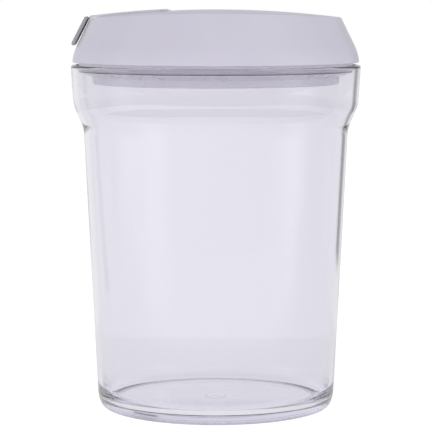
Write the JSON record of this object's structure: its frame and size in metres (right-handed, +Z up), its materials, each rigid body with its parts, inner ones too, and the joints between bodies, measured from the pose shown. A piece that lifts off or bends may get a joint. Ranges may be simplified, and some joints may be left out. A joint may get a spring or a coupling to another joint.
{
  "type": "cereal canister",
  "caption": "Clear round tapered canister for dry food, with a push-in sealed lid whose hinged pour flap opens by a grey pull tab.",
  "frame": {"origin": "centre of the base, on the surface the canister stands on", "axes": "+Z up along the canister's axis; the pull tab is on the -X side and the hinge of the flap runs along Y"},
  "size_m": [0.1444, 0.1444, 0.1993],
  "materials": {
    "clear_plastic": "clear, glossy",
    "lid_plastic": "pale grey-lavender, satin",
    "liner_plastic": "off-white, semi-gloss",
    "seal_silicone": "pale grey silicone, matte",
    "tab_plastic": "mid grey, soft matte",
    "pin_steel": "drawn steel"
  },
  "bodies": {
    "container": {"container": "clear_plastic"},
    "lid": {"lid_shell": "lid_plastic", "lid_liner": "liner_plastic", "rim_seal": "seal_silicone", "hinge_pin": "pin_steel"},
    "flap": {"pour_flap": "lid_plastic", "flap_plug": "liner_plastic", "flap_seal": "seal_silicone", "pull_tab": "tab_plastic"}
  },
  "joints": [
    {"name": "lid_lift", "type": "slide", "parent": "container", "child": "lid", "axis": [0, 0, 1], "range_m": [0, 0.06]},
    {"name": "flap_hinge", "type": "hinge", "parent": "lid", "child": "flap", "pos_m": [-0.024, 0, 0.19635], "axis": [0, 1, 0], "range_deg": [0, 100]}
  ]
}
